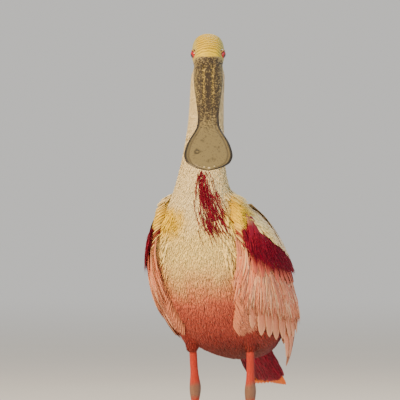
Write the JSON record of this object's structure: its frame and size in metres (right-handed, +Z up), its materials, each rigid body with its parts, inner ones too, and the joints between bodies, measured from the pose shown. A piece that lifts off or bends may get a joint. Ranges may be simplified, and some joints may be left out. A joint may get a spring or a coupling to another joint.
{
  "type": "roseate spoonbill",
  "caption": "Standing long-legged wading bird with a long spoon-shaped bill held down in front of its neck, folded wings and a short tail.",
  "frame": {"origin": "bottom centre of the bounding box, on the floor under the bird", "axes": "+Z up, -Y the way the face looks; the body is turned 22 degrees about +Z from that, so its left side comes forward on +X"},
  "size_m": [0.1838, 0.3322, 0.5396],
  "materials": {
    "white_plumage": "matte, short soft cream-white feathers",
    "pink_plumage": "matte, soft salmon-pink feathers fading from cream",
    "wing_plumage": "matte, pale pink feathers with a carmine shoulder",
    "tail_plumage": "matte, crimson coverts and orange-buff tail feathers",
    "face_skin": "dull bare yellow-green skin with fine wrinkles",
    "bill_horn": "smooth horn, grey-tan with dark mottling",
    "eye": "wet gloss, carmine iris",
    "leg_skin": "dull coral-red scaled skin",
    "claw_horn": "dark horn"
  },
  "bodies": {
    "root": {"torso": "pink_plumage", "head": "face_skin", "eye_left": "eye", "eye_right": "eye", "bill_upper": "bill_horn", "bill_lower": "bill_horn", "neck_upper": "white_plumage", "neck_lower": "white_plumage", "thigh_left": "pink_plumage", "shank_left": "leg_skin", "tarsus_left": "leg_skin", "claw_left_inner": "claw_horn", "claw_left_middle": "claw_horn", "claw_left_outer": "claw_horn", "claw_left_hind": "claw_horn", "foot_left": "leg_skin", "thigh_right": "pink_plumage", "shank_right": "leg_skin", "tarsus_right": "leg_skin", "claw_right_inner": "claw_horn", "claw_right_middle": "claw_horn", "claw_right_outer": "claw_horn", "claw_right_hind": "claw_horn", "foot_right": "leg_skin", "wing_left": "wing_plumage", "wing_right": "wing_plumage", "tail": "tail_plumage"}
  },
  "joints": []
}
